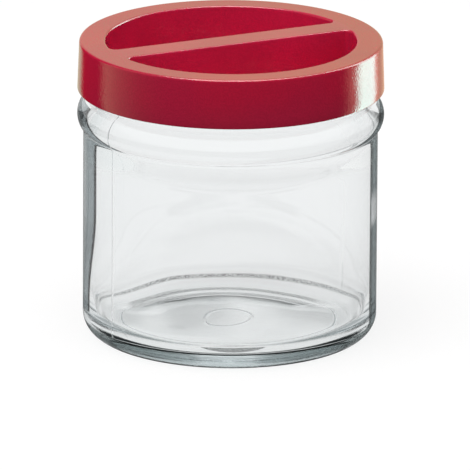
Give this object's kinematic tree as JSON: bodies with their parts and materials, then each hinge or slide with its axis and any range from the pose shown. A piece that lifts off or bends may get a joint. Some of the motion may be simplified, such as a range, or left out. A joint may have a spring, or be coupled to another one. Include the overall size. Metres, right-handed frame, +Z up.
{
  "type": "screw-top jar",
  "caption": "Round glass storage jar with a screw-on moulded lid, turned by a bar between half-moon finger pockets.",
  "frame": {"origin": "centre of the foot ring, in the plane that the jar stands on", "axes": "+Z up along the jar's axis, +X along the lid's twist bar when it is closed, +Y towards the back pocket"},
  "size_m": [0.1104, 0.1104, 0.1094],
  "materials": {
    "glass": "clear, smooth",
    "seal": "soft, satin",
    "lid_plastic": "glossy, opaque red"
  },
  "bodies": {
    "jar": {"jar": "glass"},
    "seal": {"seal": "seal"},
    "lid": {"lid": "lid_plastic"}
  },
  "joints": [
    {"name": "lid_lift", "type": "slide", "parent": "jar", "child": "seal", "axis": [0, 0, 1], "range_m": [0, 0.018]},
    {"name": "lid_turn", "type": "hinge", "parent": "seal", "child": "lid", "pos_m": [0, 0, 0.1074], "axis": [0, 0, 1], "range_deg": [0, 540]}
  ],
  "couplings": [
    {"joint": "lid_lift", "follows": "lid_turn", "m_per_rad": 0.0019099}
  ]
}
